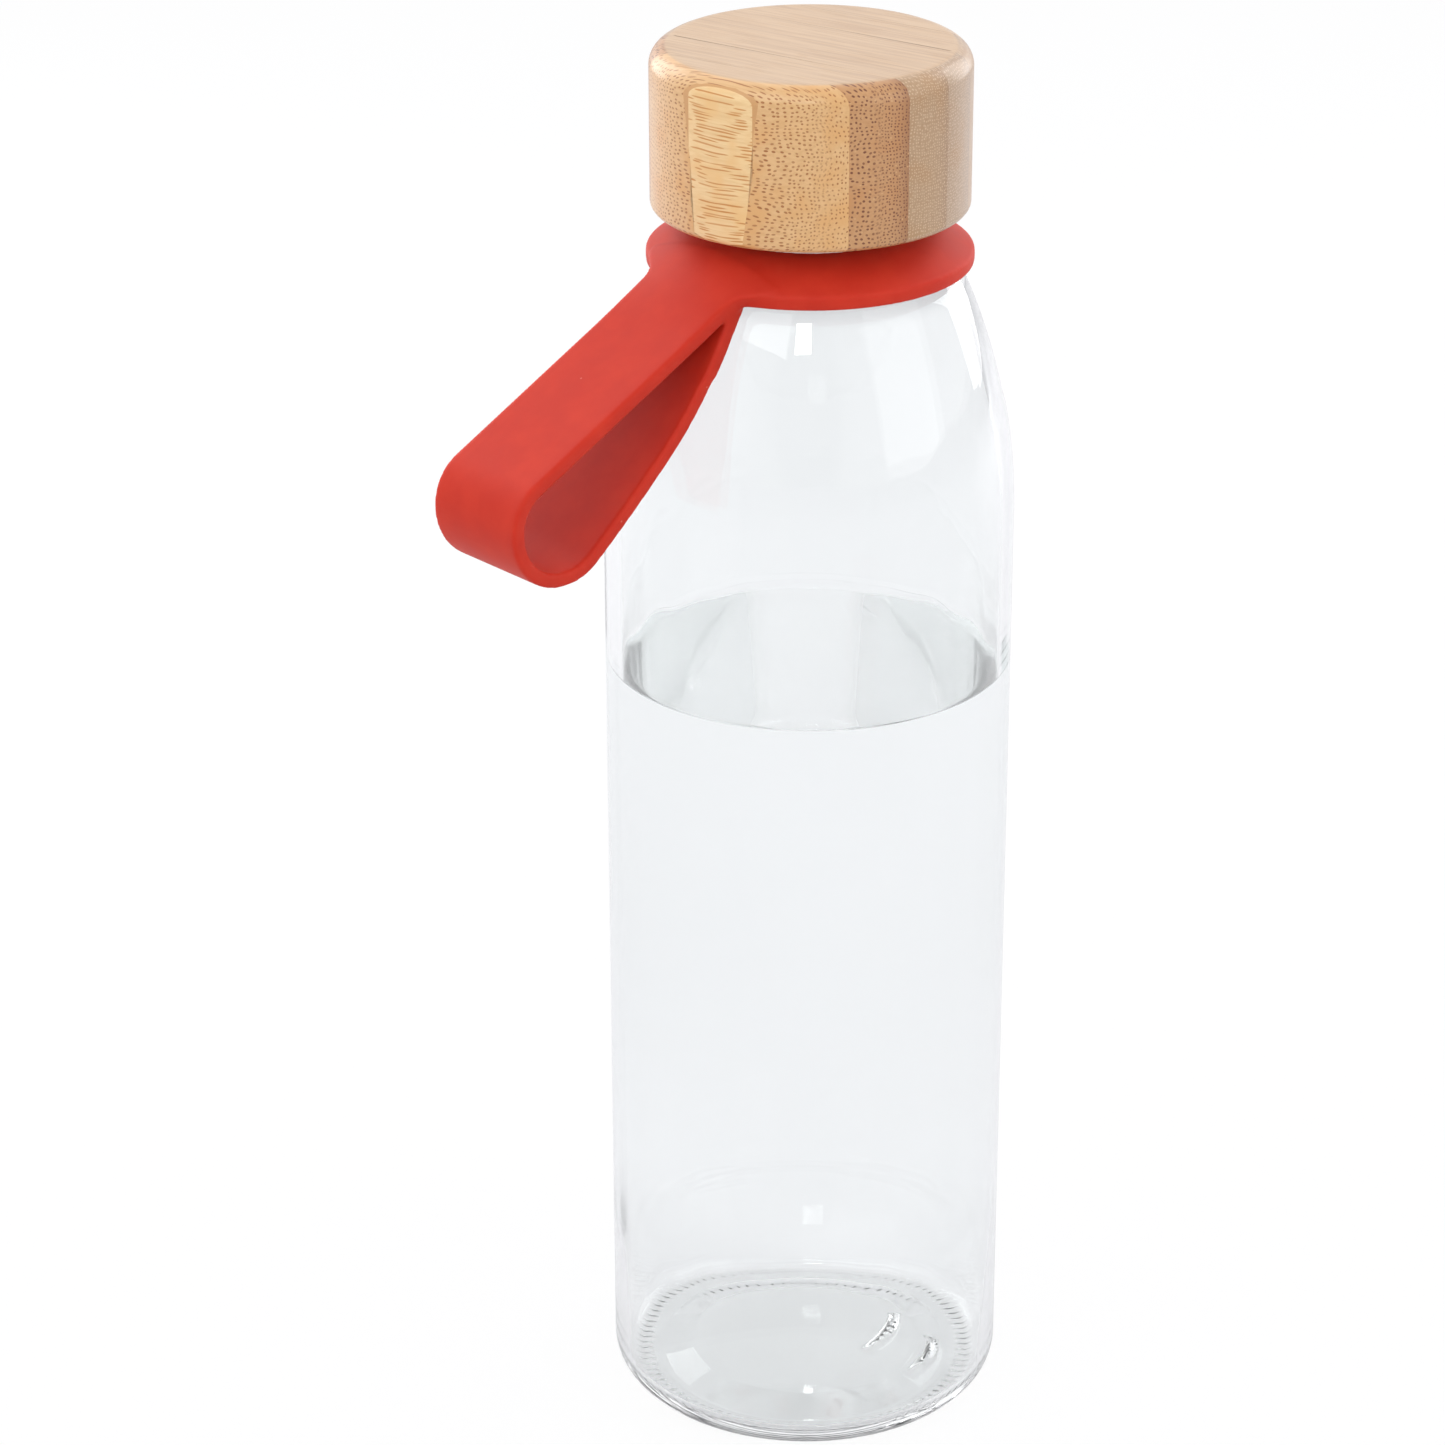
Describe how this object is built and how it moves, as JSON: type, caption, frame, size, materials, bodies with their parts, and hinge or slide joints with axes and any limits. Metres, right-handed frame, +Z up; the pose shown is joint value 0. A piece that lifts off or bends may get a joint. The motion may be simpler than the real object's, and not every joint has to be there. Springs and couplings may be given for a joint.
{
  "type": "glass water bottle",
  "caption": "Clear glass water bottle with a screw cap turned from laminated bamboo and a silicone carry loop on a collar under the cap.",
  "frame": {"origin": "centre of the base, on the plane that the bottle stands on", "axes": "+Z up along the bottle's axis, the carry loop lies along -X with its width along Y"},
  "size_m": [0.1027, 0.066, 0.2355],
  "materials": {
    "clear_glass": "polished",
    "bamboo": "oiled satin",
    "liner_plastic": "moulded",
    "gasket_silicone": "matte",
    "strap_silicone": "matte"
  },
  "bodies": {
    "bottle": {"glass_bottle": "clear_glass", "glass_neck": "clear_glass"},
    "cap_seal": {"silicone_gasket": "gasket_silicone"},
    "cap": {"threaded_liner": "liner_plastic", "bamboo_strip_1": "bamboo", "bamboo_strip_2": "bamboo", "bamboo_strip_3": "bamboo", "bamboo_strip_4": "bamboo", "bamboo_strip_5": "bamboo", "bamboo_strip_6": "bamboo", "bamboo_strip_7": "bamboo"},
    "strap_ring": {"strap_collar": "strap_silicone"},
    "strap_hand_loop": {"strap_loop": "strap_silicone"}
  },
  "joints": [
    {"name": "cap_lift", "type": "slide", "parent": "bottle", "child": "cap_seal", "axis": [0, 0, 1], "range_m": [0, 0.017]},
    {"name": "cap_turn", "type": "hinge", "parent": "cap_seal", "child": "cap", "pos_m": [0, 0, 0.2241], "axis": [0, 0, 1], "range_deg": [0, 1440]},
    {"name": "strap_swivel", "type": "hinge", "parent": "bottle", "child": "strap_ring", "pos_m": [0, 0, 0.2045], "axis": [0, 0, 1], "continuous": true},
    {"name": "loop_lift", "type": "hinge", "parent": "strap_ring", "child": "strap_hand_loop", "pos_m": [-0.0279, 0, 0.20004], "axis": [0, 1, 0], "range_deg": [0, 110], "stiffness_Nm_per_rad": 0.01}
  ],
  "couplings": [
    {"joint": "cap_lift", "follows": "cap_turn", "m_per_rad": 0.00066845}
  ]
}
